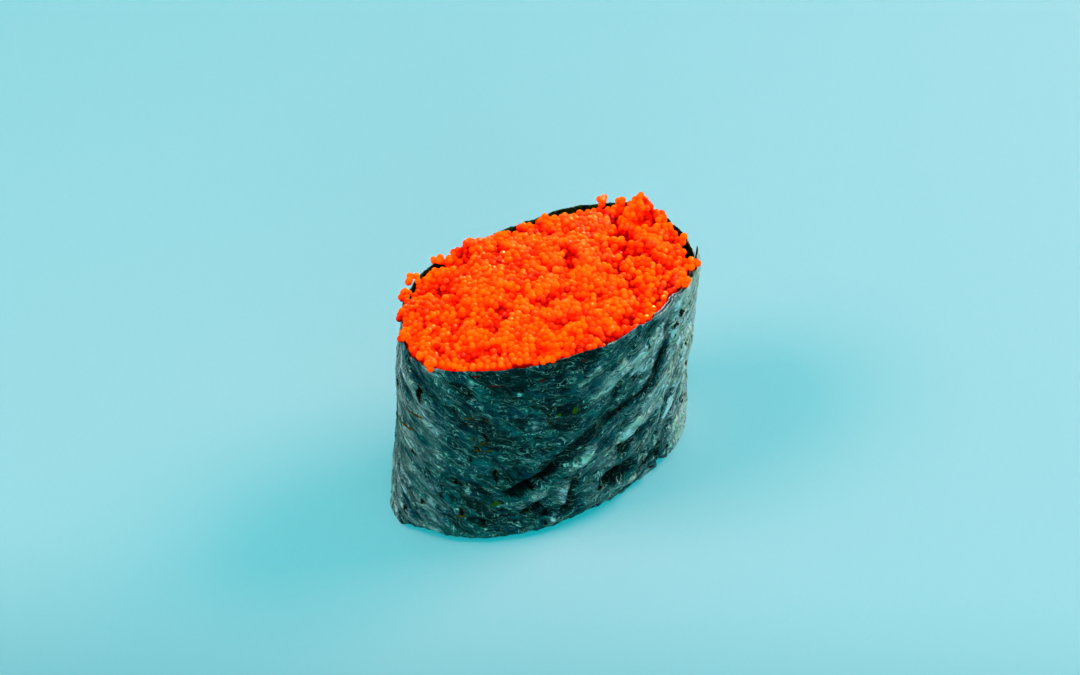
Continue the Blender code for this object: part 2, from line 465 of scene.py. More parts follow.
@dataclass
class BandShape:
    """The oval band that the strip follows. Sizes are in millimetres and angles in degrees.

    Attributes:
        half_length: From the middle to the end of the oval, at the rim.
        half_width: From the middle to its side.
        height: From the table to the rim.
        skew: How far the ends stand off the long axis, as a share of the distance along it.
        squareness: The exponent of the outline's superellipse.
        squarer_right: What the exponent gains towards the right.
        squarer_back: What it gains towards the back.
        lean: How far the foot lies back along X from the rim.
        narrowing: How much narrower the foot is, as a share.
        narrowing_curve: The exponent with which the band narrows on the way down.
        slope: The steepest slope of the sheet's fibres.
        level_at: Where along the front the fibres lie level.
        swells: Where the wall stands out or in.
        folds: The folds along the front.
    """

    half_length: float = 24.5
    half_width: float = 15.1
    height: float = 35.0
    skew: float = 0.05
    squareness: float = 2.14
    squarer_right: float = 0.28
    squarer_back: float = 0.30
    lean: float = 1.6
    narrowing: float = 0.06
    narrowing_curve: float = 1.6
    slope: float = 0.85
    level_at: float = -4.0
    swells: tuple[Swell, ...] = (Swell(175, 0.0, 0.7, 18, 5.0), Swell(158, 36.0, -0.8, 18, 9.0))
    folds: tuple[Fold, ...] = (
        Fold(((11.2, 21.5), (13.0, 25.5), (14.7, 29.5), (16.2, 35.0)), 0.6, 0.9, 0.2, shade=0.3),
        Fold(
            ((11.5, 22.5), (7.0, 21.3), (2.5, 21.0), (-3.0, 19.0), (-9.0, 14.2)),
            0.7, 1.0, 0.35, 2.5, 0.3, 0.35,
        ),
        Fold(((-5.8, 15.6), (-9.0, 13.4), (-11.5, 11.8), (-15.0, 10.6)), 1.6, 1.15, 0.5, 1.6, 0.5, 1.0),
        Fold(((-7.6, 7.3), (-9.2, 6.6), (-11.5, 6.2)), 0.9, 0.7, 0.3, 1.0, 0.0, 0.9),
        Fold(((8.6, 8.4), (6.5, 8.0), (3.0, 8.0), (1.0, 7.2)), 1.5, 1.2, 0.4, 1.5, 0.2, 1.0),
        Fold(((9.2, 14.6), (7.0, 12.4), (5.0, 10.0)), 0.6, 0.7, 0.2, 1.0, 0.0, 0.4),
        Fold(((13.4, 7.6), (13.2, 2.0)), 0.8, 0.5, 0.3, 0.8, 0.0, 0.9),
        Fold(((-3.0, 11.5), (-4.2, 6.6), (-4.6, 2.5)), 0.7, 0.7, 0.2, 1.0, 0.0, 0.4),
        Fold(((5.8, 28.4), (4.2, 25.8), (2.6, 22.8)), 0.35, 0.6, shade=0.25),
        Fold(((11.0, 32.6), (7.5, 31.0), (4.0, 29.2), (-2.0, 25.4)), -0.45, 1.4),
        Fold(((11.4, 17.2), (7.8, 16.2), (4.6, 13.6)), -0.5, 1.0),
        Fold(((-0.2, 16.8), (-1.5, 13.6), (-5.0, 12.8)), -0.6, 0.8),
        Fold(((11.6, 3.4), (7.8, 4.2), (3.4, 6.2), (-0.3, 5.4)), -0.8, 0.8),
        Fold(((-5.2, 10.5), (-5.4, 5.0), (-7.0, 1.2)), -0.6, 0.7),
        Fold(((-7.2, 10.4), (-9.3, 8.8), (-12.5, 7.8)), -0.5, 0.8),
        Fold(((-11.0, 2.8), (-13.5, 5.0), (-17.0, 6.4), (-20.5, 6.5)), -0.35, 0.5),
    )

    def outline(self, angle: Array) -> Array:
        """Rows of x and y on the oval at the rim, in millimetres. Angles are in radians.

        Args:
            angle: Angles round the band, in radians.

        Returns:
            A row for each angle.
        """
        c, s = np.cos(angle), np.sin(angle)
        power = 2 / (self.squareness + self.squarer_right * c + self.squarer_back * s)
        x = self.half_length * np.sign(c) * np.abs(c) ** power
        y = self.half_width * np.sign(s) * np.abs(s) ** power
        return np.stack([x, y + self.skew * x], axis=-1)

    def outward(self, angle: Array) -> Array:
        """The oval's outward unit normals.

        Args:
            angle: Angles round the band, in radians.

        Returns:
            A row of x and y for each angle.
        """
        step = 0.03
        along = self.outline(angle + step) - self.outline(angle - step)
        along /= np.linalg.norm(along, axis=-1, keepdims=True)
        return np.stack([along[..., 1], -along[..., 0]], axis=-1)

    def wall(self, angle: Array, z: Array, out: Array | float) -> Array:
        """Places on the smooth wall.

        Args:
            angle: Angles round the band, in radians.
            z: Heights.
            out: How far outward of the wall's middle.

        Returns:
            Rows of x, y and z.
        """
        flat = self.outline(angle)
        down = np.clip(1 - z / self.height, 0, None)
        narrow = 1 - self.narrowing * down**self.narrowing_curve
        flat = np.stack([flat[:, 0] - self.lean * down, flat[:, 1] * narrow], axis=1)
        for swell in self.swells:
            distance = np.hypot(apart(angle, swell.degrees) / swell.turn, (z - swell.height) / swell.rise)
            out = out + swell.out * bump_at(distance, 1)
        return np.column_stack([flat + self.outward(angle) * np.reshape(out, (-1, 1)), z])

    def fibre_places(self, angle: Array, z: Array) -> Array:
        """Places in the sheet, of which the third stays the same along a fibre. In millimetres.

        Args:
            angle: Angles round the band, in radians.
            z: Heights.

        Returns:
            A row for each place.
        """
        start = math.asin(self.level_at / self.half_length) - math.pi / 2
        turns = np.linspace(0, 2 * math.pi, 721)
        steps = np.linalg.norm(np.diff(self.outline(start + turns), axis=0), axis=1)
        lengths = np.concatenate([[0], np.cumsum(steps)])
        along = np.interp((angle - start) % (2 * math.pi), turns, lengths) / lengths[-1]
        rise = self.slope * lengths[-1] / (2 * math.pi)
        return np.column_stack([self.outline(angle), z + rise * np.cos(2 * math.pi * along)])

    def fold_shifts(self, angle: Array, z: Array) -> tuple[Array, Array, Array]:
        """What the folds do to the wall: the shifts outward and up, and the painted shade in their grooves.

        Args:
            angle: Angles round the band, in radians.
            z: Heights.

        Returns:
            All three, for each place. The painted shade goes from 0 to 1.
        """
        place = self.outline(angle)
        front = smooth_step(-place[:, 1] / 4)
        total = np.zeros((3, len(z)))
        for fold in self.folds:
            total += front * np.array(fold.shifts(place[:, 0], z))
        return total[0], total[1], np.clip(total[2], 0, 1)


class Tint(Enum):
    """The kinds of bit that stick to the sheet."""

    OCHRE = "ochre"
    LEAF = "leaf"
    RED = "red"


@dataclass(frozen=True)
class Bit:
    """A bit stuck to the front of the sheet: its place along X and up, and its size. In millimetres."""

    x: float
    z: float
    length: float
    height: float

    def cover(self, x: Array, z: Array) -> Array:
        """How much of it lies at each place, from 0 to 1."""
        return bump_at(np.hypot((x - self.x) / self.length, (z - self.z) / self.height), 0.6)


@dataclass(frozen=True)
class Streak:
    """A painted highlight along a ridge of the front, or painted shade along a crease where its strength is
    below zero.

    Attributes:
        line: Its line of (x, z) points, in millimetres.
        width: How far it reaches to each side.
        strength: How much paler it is painted, or darker below zero.
    """

    line: Line
    width: float
    strength: float

    def bloom_and_painted_light(self, x: Array, z: Array) -> Array:
        """How much paler each place is painted; below zero, how much painted shade darkens it.

        Args:
            x: Places along the wall.
            z: Heights.

        Returns:
            One value for each place.
        """
        distance, along = nearest_on_line(x, z, self.line)
        taper = smooth_step(np.minimum(along, 1 - along) / 0.15 + 0.2)
        return self.strength * bump_at(distance, self.width) * taper


@dataclass(frozen=True)
class NoriFinish:
    """Toasted seaweed: matted fibres, dark blue-green, with paler strands and a faint sheen, and painted
    highlights, sheen and shade in its colour.

    Attributes:
        deep: The ground colour.
        green: The ground where it is greener.
        strand: The sheet where fibres lie thick, and where painted light makes it paler.
        pale: The sheet where they lie thickest, and where the painted highlight and sheen are strongest.
        olive: The same where they are browner.
        hair: The thinnest and palest fibres.
        inside: The sheet's rough inner face.
        moss: The green that shows through there.
        pit_and_shade: The colour of the pits, and of the painted shade in the folds and beside the threads.
        buff: The colour of the bits at the pits' edges.
        bits: The colour of each kind of bit that sticks to the sheet.
        roughness: How rough the surface is between strands.
        grains: The noises along the fibres, from coarse to fine: grains to a millimetre along the fibres and
            across them, detail, roughness and seed.
    """

    deep: Colour = (0.0005, 0.072, 0.088)
    green: Colour = (0.001, 0.126, 0.120)
    strand: Colour = (0.190, 0.195, 0.195)
    pale: Colour = (0.620, 0.570, 0.560)
    olive: Colour = (0.600, 0.520, 0.420)
    hair: Colour = (0.540, 0.570, 0.470)
    inside: Colour = (0.006, 0.006, 0.003)
    moss: Colour = (0.014, 0.090, 0.006)
    pit_and_shade: Colour = (0.0003, 0.0020, 0.0018)
    buff: Colour = (0.150, 0.105, 0.040)
    bits: tuple[tuple[Tint, Colour], ...] = (
        (Tint.OCHRE, (0.160, 0.070, 0.004)),
        (Tint.LEAF, (0.090, 0.120, 0.006)),
        (Tint.RED, (0.280, 0.018, 0.012)),
    )
    roughness: float = 0.38
    grains: tuple[tuple[float, float, float, float, float], ...] = (
        (0.11, 0.95, 3.0, 0.6, 7.7),
        (0.20, 0.60, 2.0, 0.5, 0.0),
        (0.35, 0.70, 3.0, 0.6, 21.0),
        (0.22, 2.0, 2.0, 0.5, 2.9),
        (0.42, 4.2, 2.0, 0.5, 1.9),
        (1.0, 8.0, 2.0, 0.6, 15.0),
        (4.0, 8.0, 2.0, 0.6, 5.3),
    )

    @staticmethod
    def threads(sheet: NodeSheet, noise_value: Wire, width: float) -> Wire:
        """Thin lines, 1 along the middle value of a noise and 0 beyond width of it."""
        return sheet.ramp(abs(noise_value - 0.5), width, width * 0.15)

    def material(self) -> bpy.types.Material:
        """The finish as a material.

        Returns:
            The material.
        """
        sheet = NodeSheet("nori")
        fibre = sheet.attribute("fibre_place", "Vector")
        drift = sheet.grain(fibre, (0.3, 0.3, 0.45), 2.0, seed=3.1) - 0.5
        curl = sheet.grain(fibre, (1.1, 1.1, 1.3), 2.0, seed=13.0) - 0.5
        wander = sheet.node("ShaderNodeCombineXYZ", {}, {"Z": drift * 3.4 + curl * 0.9})
        place = sheet.vector("ADD", fibre, wander)
        streaks, broad, patches, strands, hairs, fine, fuzz = (
            sheet.grain(place, (along, along, across), *rest) for along, across, *rest in self.grains
        )
        relief, shade = sheet.attribute("relief"), sheet.attribute("shade")
        inner, bloom_and_painted_light = sheet.attribute("inner"), sheet.attribute("bloom_and_painted_light")

        lines = self.threads(sheet, strands, 0.018).most(self.threads(sheet, hairs, 0.024) * 0.9)
        threads = lines * sheet.ramp(patches, 0.38, 0.54)
        # painted shade: thin dark lines beside the pale threads, as the shadows of curled fibres
        thin_painted_shade_lines = self.threads(sheet, hairs + 0.09, 0.045) * 0.8
        painted_shade_lines = self.threads(sheet, strands - 0.070, 0.035).most(thin_painted_shade_lines)
        # painted light: raised relief is painted paler as a highlight and pressed-in folds darker as shade,
        # with the painted sheen and bloom; the grains add the fibres' own pattern
        light = (relief - 0.5) * 0.8 + bloom_and_painted_light * 0.84 + 0.02
        gains = ((streaks, 0.15, 1.8), (strands, 0.3, 0.5), (hairs, 0.5, 0.6), (fine, 0.25, 1.6))
        for grain, least, gain in gains:
            light = light + (grain - 0.5) * (bloom_and_painted_light + least) * gain
        ground = sheet.mix(sheet.ramp(broad, 0.40, 0.60), self.deep, self.green)
        # painted shade: where that light is lowest, the ground falls to a third of its colour
        shadow = sheet.vector("MULTIPLY", ground, (0.3, 0.3, 0.3))
        colour = sheet.mix(sheet.ramp(light, 0.30, -0.05), ground, shadow)
        colour = sheet.mix(sheet.ramp(light, 0.36, 0.72), colour, self.strand)
        pale = sheet.mix(sheet.ramp(patches + bloom_and_painted_light * 0.04, 0.50, 0.62), self.pale, self.olive)
        colour = sheet.mix(sheet.ramp(light, 0.66, 1.10), colour, pale)
        colour = sheet.mix(painted_shade_lines * 0.6, colour, self.pit_and_shade)
        # the pale fibres, painted brighter where the relief stands out
        colour = sheet.mix(threads * (0.55 + relief * 0.45), colour, self.hair)
        warped = sheet.vector("MULTIPLY", sheet.vector("ADD", place, wander), (0.30, 0.30, 0.42))
        cells = sheet.node("ShaderNodeTexVoronoi", {}, {"Vector": warped, "Scale": 1.0}, "Distance")
        spread = cells + (fuzz - 0.5) * 0.4
        pits = sheet.ramp(spread, 0.17, 0.11)
        ring = sheet.ramp(spread, 0.25, 0.17) * sheet.ramp(patches, 0.42, 0.60)
        colour = sheet.mix(ring * 0.8, colour, self.buff)
        colour = sheet.mix(pits, colour, self.pit_and_shade)
        for tint, bit in self.bits:
            ragged = sheet.attribute(tint.value) + (fuzz - 0.5) * 0.9 + (hairs - 0.5) * 0.6
            colour = sheet.mix(sheet.ramp(ragged, 0.42, 0.56), colour, bit)
        # painted shade: the folds' grooves are darkened nearly to the darkest colour
        colour = sheet.mix(shade * 0.94, colour, self.pit_and_shade)

        mossy = sheet.mix(sheet.ramp(hairs * 0.5 + patches * 0.5, 0.49, 0.58), self.inside, self.moss)
        colour = sheet.mix(inner, colour, mossy)
        grooves = streaks * 0.55 + strands * 0.35 + hairs * 0.18 + fine * 0.06
        height = grooves * (bloom_and_painted_light * 0.8 + 0.5) + threads * 0.05 - painted_shade_lines * 0.05 - pits * 0.3
        return sheet.surface(
            Base_Color=colour,
            Roughness=self.roughness + (fuzz - 0.5) * 0.2 + inner * 0.25 + shade * 0.3,
            IOR=1.5,
            Specular_IOR_Level=0.05,
            Coat_Weight=bloom_and_painted_light * 0.12 + 0.08 - shade * 0.9,
            Coat_IOR=1.36,
            Coat_Roughness=0.28,
            Normal=sheet.bump(height, 1.0 * MM, 1.0),
        )


@dataclass(frozen=True)
class RoeFinish:
    """Wet, translucent eggs.

    Attributes:
        bright: The orange of an egg that stands proud of the heap, painted lighter as painted light.
        warm: The orange of one level with the heap.
        red: The red of one that lies deep, painted darker as painted shade.
        painted_glow: A painted glow: emission that stands in for the light coming out of an egg level with
            the heap through the clear eggs round it.
        painted_glow_deep: The weaker painted glow of one that lies deep.
        scatter: How far light spreads inside, in millimetres.
    """

    bright: Colour = (1.0, 0.160, 0.0002)
    warm: Colour = (1.0, 0.088, 0.0001)
    red: Colour = (0.85, 0.007, 0.0001)
    painted_glow: Colour = (0.44, 0.010, 0.0)
    painted_glow_deep: Colour = (0.03, 0.0, 0.0)
    scatter: float = 0.9

    def material(self, name: str, clear: bool) -> bpy.types.Material:
        """The finish as a material.

        Args:
            name: Its name.
            clear: Whether light falls on it as the mesh's "lit" vectors say, as it does through clear eggs.

        Returns:
            The material.
        """
        sheet = NodeSheet(name)
        tone, deep = sheet.attribute("tone"), sheet.attribute("deep")
        depth = deep + (tone - 0.5) * 0.45
        # painted light and shade: orange where an egg stands proud, red where it lies deep, shifted by its
        # own random tone
        colour = sheet.mix(sheet.ramp(depth, 0.15, 0.9), self.warm, self.red)
        colour = sheet.mix(sheet.ramp(depth, 0.30, -0.15), colour, self.bright)
        lit = {"Normal": sheet.attribute("lit", "Vector")} if clear else {}
        return sheet.surface(
            Base_Color=colour,
            Roughness=0.5,
            Specular_IOR_Level=0.0,
            Subsurface_Weight=0.6,
            Subsurface_Radius=(1.0, 0.45, 0.12),
            Subsurface_Scale=self.scatter * MM,
            Coat_Weight=0.27 - tone * 0.17,
            Coat_IOR=1.40,
            Coat_Roughness=0.05,
            # painted glow: emission standing in for light through clear eggs, weaker where they lie deep
            Emission_Color=sheet.mix(sheet.ramp(depth, 0.35, 1.0), self.painted_glow, self.painted_glow_deep),
            Emission_Strength=1.0,
            **lit,
        )


@dataclass(frozen=True)
class RiceFinish:
    """Cooked rice: white, moist and faintly translucent, and less white where it is milky."""

    white: Colour = (0.80, 0.78, 0.70)
    shade: Colour = (0.62, 0.60, 0.50)

    def material(self) -> bpy.types.Material:
        """The finish as a material.

        Returns:
            The material.
        """
        sheet = NodeSheet("rice")
        place = sheet.node("ShaderNodeTexCoord", {}, {}, "Object")
        milky = sheet.grain(place, (400, 400, 400), 3.0)
        return sheet.surface(
            Base_Color=sheet.mix(milky, self.white, self.shade),
            Roughness=0.30 + milky * 0.2,
            Subsurface_Weight=0.6,
            Subsurface_Radius=(1.0, 0.9, 0.7),
            Subsurface_Scale=1.2 * MM,
            Normal=sheet.bump(milky, 0.05 * MM, 0.4),
        )


@dataclass(frozen=True)
class Relief:
    """A noise in the sheet's shape, in millimetres.

    Attributes:
        height: How strong it is.
        along: Its grain's size along the fibres.
        across: Its grain's size across them.
        seed: An offset that gives a different noise.
    """

    height: float
    along: float
    across: float
    seed: float

    def swells(self, place: Array) -> Array:
        """Soft swells and hollows at rows of fibre places."""
        return self.height * noise_at(place, (self.along, self.along, self.across), self.seed)

    def ridges(self, place: Array) -> Array:
        """Sharp ridges at rows of fibre places."""
        return self.height * (0.3 - np.abs(noise_at(place, (self.along, self.along, self.across), self.seed)))


@dataclass
class NoriWrap:
    """The strip of nori, wound one turn and an overlap round the band. Sizes are in millimetres.

    Attributes:
        band: The oval that it follows.
        shift: Where the band's middle lies in the frame.
        thickness: The sheet's thickness.
        pitch: From one turn of the sheet to the next.
        start: The angle, in degrees, where the strip starts under its own last turn.
        end: The angle where it ends.
        climb: Over how many degrees it rises on to its own start.
        raised: Where the foot is off the table: direction, height and spread.
        wander: How the fibres stray from their lines.
        swell: The broadest relief.
        drape: The ridges of the draped sheet.
        crease: The finer ridges on them.
        strand: The ridges of the strands, on the outer face.
        hair: The finest relief there.
        low_torn: How the lower edge is torn.
        high_torn: How the upper edge is torn.
        corner_rise: How far the outer end's top corner stands up.
        corner_flare: How far it curls away from the turn under it.
        flare_depth: How far down from the rim it does so.
        bits: What sticks to the front, by its kind.
        streaks: Where the front is painted paler, as highlights along ridges, or painted darker, as shade
            along creases.
        columns: Faces along the strip.
        outer_rows: Faces up its outer face.
        inner_rows: Faces up its inner face.
    """

    band: BandShape
    shift: Array
    thickness: float = 0.30
    pitch: float = 0.50
    start: float = -64.0
    end: float = 343.0
    climb: float = 14.0
    raised: tuple[tuple[float, float, float], ...] = ((-160, 1.8, 18), (-92, 0.9, 26), (-54, 1.3, 14))
    wander: tuple[Relief, Relief] = (Relief(1.6, 6.0, 5.0, 17.0), Relief(0.5, 2.0, 2.0, 27.0))
    swell: Relief = Relief(0.45, 12.0, 7.0, 1.0)
    drape: Relief = Relief(0.90, 8.0, 2.8, 5.0)
    crease: Relief = Relief(0.60, 3.6, 1.3, 8.0)
    strand: Relief = Relief(0.55, 2.2, 0.75, 12.0)
    hair: Relief = Relief(0.16, 1.1, 0.42, 15.0)
    low_torn: tuple[Relief, Relief] = (Relief(0.45, 2.6, 2.6, 4.0), Relief(0.2, 0.7, 0.7, 9.0))
    high_torn: tuple[Relief, Relief] = (Relief(0.22, 1.7, 1.7, 2.0), Relief(0.12, 0.5, 0.5, 6.0))
    corner_rise: float = 0.7
    corner_flare: float = 0.2
    flare_depth: float = 9.0
    bits: tuple[tuple[Tint, tuple[Bit, ...]], ...] = (
        (
            Tint.OCHRE,
            rows_of(
                Bit,
                (-16.8, 20.8, 1.0, 0.6), (-17.4, 19.5, 1.2, 0.5), (-16.0, 19.4, 1.3, 0.3),
                (-24.0, 24.7, 1.3, 0.4), (-24.4, 21.2, 0.5, 0.5), (-19.0, 6.0, 1.6, 0.4),
                (-18.5, 25.9, 1.8, 0.3), (12.0, 20.3, 0.8, 0.4),
            ),
        ),
        (
            Tint.LEAF,
            rows_of(
                Bit,
                (-14.7, 8.1, 1.3, 0.8), (-3.6, 24.1, 0.8, 1.3), (-1.7, 25.0, 1.2, 0.3),
                (-6.2, 24.3, 0.9, 0.5), (18.6, 31.2, 0.9, 0.5),
            ),
        ),
        (
            Tint.RED,
            rows_of(
                Bit,
                (18.0, 29.8, 0.5, 0.5), (-2.8, 33.8, 0.5, 0.5), (-9.2, 32.2, 1.0, 0.4),
                (-18.0, 34.0, 1.2, 0.5), (-15.5, 32.0, 2.4, 0.35),
            ),
        ),
    )
    streaks: tuple[Streak, ...] = rows_of(
        Streak,
        (((11.0, 31.5), (7.5, 29.8), (4.0, 28.0), (-2.0, 24.5)), 1.6, 0.6),
        (((0.5, 31.2), (-1.5, 30.2), (-3.7, 28.8)), 0.8, 0.6),
        (((11.0, 16.0), (8.0, 15.0), (4.8, 12.8)), 1.2, 0.6),
        (((-0.5, 16.0), (-1.5, 12.8), (-4.8, 12.0)), 1.0, 0.7),
        (((11.4, 2.4), (7.8, 3.0), (3.4, 5.2), (0.0, 4.6)), 0.9, 0.5),
        (((-4.8, 10.0), (-4.8, 5.0), (-6.5, 1.5)), 1.0, 0.6),
        (((-7.4, 9.6), (-9.3, 7.8), (-12.0, 6.8)), 0.8, 0.5),
        (((-10.0, 24.6), (-9.5, 22.0)), 0.7, 0.6),
        (((-11.4, 15.0), (-10.7, 17.0)), 0.8, 0.5),
        (((-24.0, 12.0), (-22.5, 9.5), (-20.0, 6.5)), 1.3, 0.2),
        (((14.0, 29.5), (12.2, 25.3), (10.5, 21.6), (2.6, 20.4), (-8.6, 13.9)), 1.3, -1.2),
        (((5.3, 27.5), (3.0, 23.5)), 0.8, -0.8),
        (((8.7, 13.4), (6.9, 11.4), (5.0, 9.3)), 0.9, -0.9),
        (((8.0, 7.6), (6.5, 6.2), (2.5, 6.4)), 1.6, -1.3),
        (((13.8, 7.0), (13.9, 2.0)), 0.8, -0.8),
        (((-2.3, 11.0), (-3.5, 6.6), (-3.8, 2.9)), 0.9, -0.7),
        (((1.0, 34.6), (-9.0, 33.6), (-18.0, 33.8)), 1.5, -0.4),
    )
    columns: int = 560
    outer_rows: int = 126
    inner_rows: int = 46

    def low_edge(self, angle: Array) -> Array:
        """Heights of the ragged lower edge.

        Args:
            angle: Angles round the band, in radians.

        Returns:
            A height for each angle.
        """
        z = 0.2 + 0.15 * (1 + np.sin(5 * angle))
        for degrees, height, spread in self.raised:
            z += height * bump_at(apart(angle, degrees), spread)
        place = np.column_stack([self.band.outline(angle), angle * 0])
        bites, nicks = self.low_torn
        return z + np.abs(bites.swells(place)) + nicks.swells(place)

    def high_edge(self, angle: Array) -> Array:
        """Heights of the ragged upper edge, with the outer end's corner standing up.

        Args:
            angle: Angles round the band, in radians.

        Returns:
            A height for each angle.
        """
        place = np.column_stack([self.band.outline(angle), angle * 0])
        bites, nicks = self.high_torn
        torn = bites.swells(place) + nicks.swells(place)
        return self.band.height + 0.3 * np.sin(3 * angle + 1) + self.corner_rise * self.near_end(angle) + torn

    def near_end(self, angle: Array) -> Array:
        """How near the outer end is, from 0 to 1."""
        return smooth_step(1 - (math.radians(self.end) - angle) / math.radians(self.climb))

    def layer(self, angle: Array, z: Array) -> Array:
        """How far out the strip lies, once it has climbed over its own start.

        Args:
            angle: Angles round the band, in radians.
            z: Heights.

        Returns:
            The distance outward of the wall's middle.
        """
        top = math.radians(self.start) + 2 * math.pi
        climbed = self.pitch * smooth_step((angle - top) / math.radians(self.climb) + 1)
        high = smooth_step(1 - (self.band.height - z) / self.flare_depth)
        return climbed + self.corner_flare * self.near_end(angle) * high

    def crumple(self, angle: Array, z: Array) -> Array:
        """How crumpled the sheet is, which grows towards the front right and the foot.

        Args:
            angle: Angles round the band, in radians.
            z: Heights.

        Returns:
            A factor for the wrinkles, which is 0.6 where it is smoothest.
        """
        place = self.band.outline(angle)
        right = smooth_step((place[:, 0] + 8) / 26) * smooth_step(-place[:, 1] / 8)
        low = smooth_step(1 - z / 16)
        return 0.6 + 0.4 * right + 0.35 * low + 0.4 * right * low

    def wrinkles(self, angle: Array, z: Array) -> tuple[Array, Array]:
        """The sheet's relief.

        Args:
            angle: Angles in radians.
            z: Heights.

        Returns:
            The relief that shows on both faces, and the finer one on the outer face only.
        """
        place = self.band.fibre_places(angle, z)
        broad, close = self.wander
        place = place + np.outer(broad.swells(place) + close.swells(place), (0, 0, 1))
        much = self.crumple(angle, z)
        both = self.swell.swells(place) + much * (self.drape.ridges(place) + self.crease.ridges(place))
        return both, much * (self.strand.ridges(place) + self.hair.swells(place))

    def bloom_and_painted_light(self, angle: Array, z: Array) -> Array:
        """How pale the outer face is painted, as dry bloom and painted sheen: most at the ends, least at the
        front left.

        Args:
            angle: Angles in radians.
            z: Heights.

        Returns:
            About 0 where the sheet keeps its dark ground, and 1 where it is pale. A streak can lead past
            either.
        """
        # painted sheen with a dry bloom towards both ends, and painted highlights and shade along the streaks
        x, y = self.band.outline(angle).T
        front = smooth_step(-y / 6)
        right = smooth_step((x + 0.30 * (self.band.height - z)) / 15)
        left = smooth_step((-x - 19.5) / 3.0)
        end = smooth_step((x + 0.2 * z - 16) / 6)
        right = right * (0.65 + 0.35 * end - 0.42 * (1 - end) * smooth_step((17 - z) / 9))
        painted = sum((streak.bloom_and_painted_light(x, z) for streak in self.streaks), np.zeros(len(z)))
        return front * (np.maximum(1.12 * right, 0.48 * left) + painted) + (1 - front) * 0.6

    def data(self) -> MeshData:
        """The strip as a closed mesh: a loop round its thickness, carried along its length.

        Returns:
            The mesh, with all that its finish reads.
        """
        up_outer = np.linspace(0, 1, self.outer_rows + 1)
        up_inner = np.linspace(1, 0, self.inner_rows + 1)
        up = np.concatenate([up_outer, up_inner])
        side = np.concatenate([np.ones(len(up_outer)), -np.ones(len(up_inner))])
        fine = np.radians(np.linspace(self.start, self.end, 4001))
        steps = np.linalg.norm(np.diff(self.band.outline(fine), axis=0), axis=1)
        lengths = np.concatenate([[0], np.cumsum(steps)])
        angles = np.interp(np.linspace(0, lengths[-1], self.columns + 1), lengths, fine)
        low, high = self.low_edge(angles), self.high_edge(angles)
        loop = len(up)
        angle = np.repeat(angles, loop)
        z = (low[:, None] * (1 - up) + high[:, None] * up).ravel()
        both, outer = self.wrinkles(angle, z)
        fold_out, fold_up, shade = self.band.fold_shifts(angle, z)
        sides = np.tile(side, len(angles))
        rim = np.tile(np.minimum(up, 1 - up), len(angles))
        thin = 0.45
        half = self.thickness / 2 * (thin + (1 - thin) * smooth_step(rim * 60))
        facing = np.where(sides > 0, outer * smooth_step(rim * 40), 0.0)
        out = self.layer(angle, z) + both + fold_out + sides * half + facing
        places = self.band.wall(angle, z, out)
        lowest = 0.03
        places[:, 2] = np.maximum(places[:, 2] + fold_up, lowest)
        places[:, :2] += self.shift
        values = {
            "fibre_place": self.band.fibre_places(angle, z),
            # relief: the height of the wrinkles and folds, from which the finish paints highlights on raised
            # places and shade in pressed-in ones
            "relief": np.clip(0.5 + (both + outer) * 1.4 + np.minimum(fold_out, 0.4) * 0.8, 0, 1),
            # shade: painted shade that darkens the folds' grooves in the finish
            "shade": shade,
            "inner": (sides < 0).astype(float),
            # bloom: dry bloom with painted sheen, highlights and shade
            "bloom_and_painted_light": self.bloom_and_painted_light(angle, z),
        }
        x, y = self.band.outline(angle).T
        for tint, bits in self.bits:
            covers = [bit.cover(x, z) for bit in bits]
            values[tint.value] = np.where(y < 0, np.max(covers, axis=0), 0.0)
        faces, maps = self._faces(loop)
        return MeshData(places * MM, faces, maps, values)

    def _faces(self, loop: int) -> tuple[list[Sequence[int]], Array]:
        """The strip's faces and their places on the bake map.

        Args:
            loop: Points round the strip's thickness.

        Returns:
            The faces, and a place for each corner.
        """
        grid = np.meshgrid(np.arange(self.columns), np.arange(loop), indexing="ij")
        column, row = (at.ravel() for at in grid)
        here, across = column * loop, (column + 1) * loop
        after = (row + 1) % loop
        quads = np.stack([here + row, across + row, across + after, here + after], axis=1)
        outer_share, edge, gap = 0.66, 0.01, 0.005
        outer = np.linspace(edge, outer_share, self.outer_rows + 1)
        inner = np.linspace(outer_share + gap, 1 - edge - gap, self.inner_rows + 1)
        heights = np.concatenate([outer, inner, [1 - gap]])
        left, right = (edge + (1 - 2 * edge) * at / self.columns for at in (column, column + 1))
        low, high = heights[row], heights[row + 1]
        maps = np.stack([left, low, right, low, right, high, left, high], axis=1).reshape(-1, 2)
        first = np.arange(loop)
        last = self.columns * loop + first[::-1]
        cap_map = np.stack([np.full(loop, 0.002), heights[first]], axis=1)
        faces = quads.tolist() + [first.tolist(), last.tolist()]
        return faces, np.concatenate([maps, cap_map, cap_map + (0.994, 0)])

    def build(self) -> bpy.types.Object:
        """The strip as a piece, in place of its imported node."""
        return self.data().piece("nori_strip", NoriFinish().material(), "nori", "nori_wrap")


@dataclass(frozen=True)
class EdgeStretch:
    """How the heap meets the band in one direction.

    Attributes:
        degrees: The direction.
        level: How far the heap stands above the rim there.
        inset: How far inside the wall its outermost eggs lie. Below zero they hang over the rim.
    """

    degrees: float
    level: float
    inset: float


@dataclass(frozen=True)
class Cluster:
    """A few eggs that cling to the rim.

    Attributes:
        degrees: The direction.
        out: How far outward of the wall its middle lies.
        up: How far above the rim.
        count: How many eggs it has.
        spread: How far they lie from its middle.
    """

    degrees: float
    out: float
    up: float
    count: int
    spread: float = 0.5


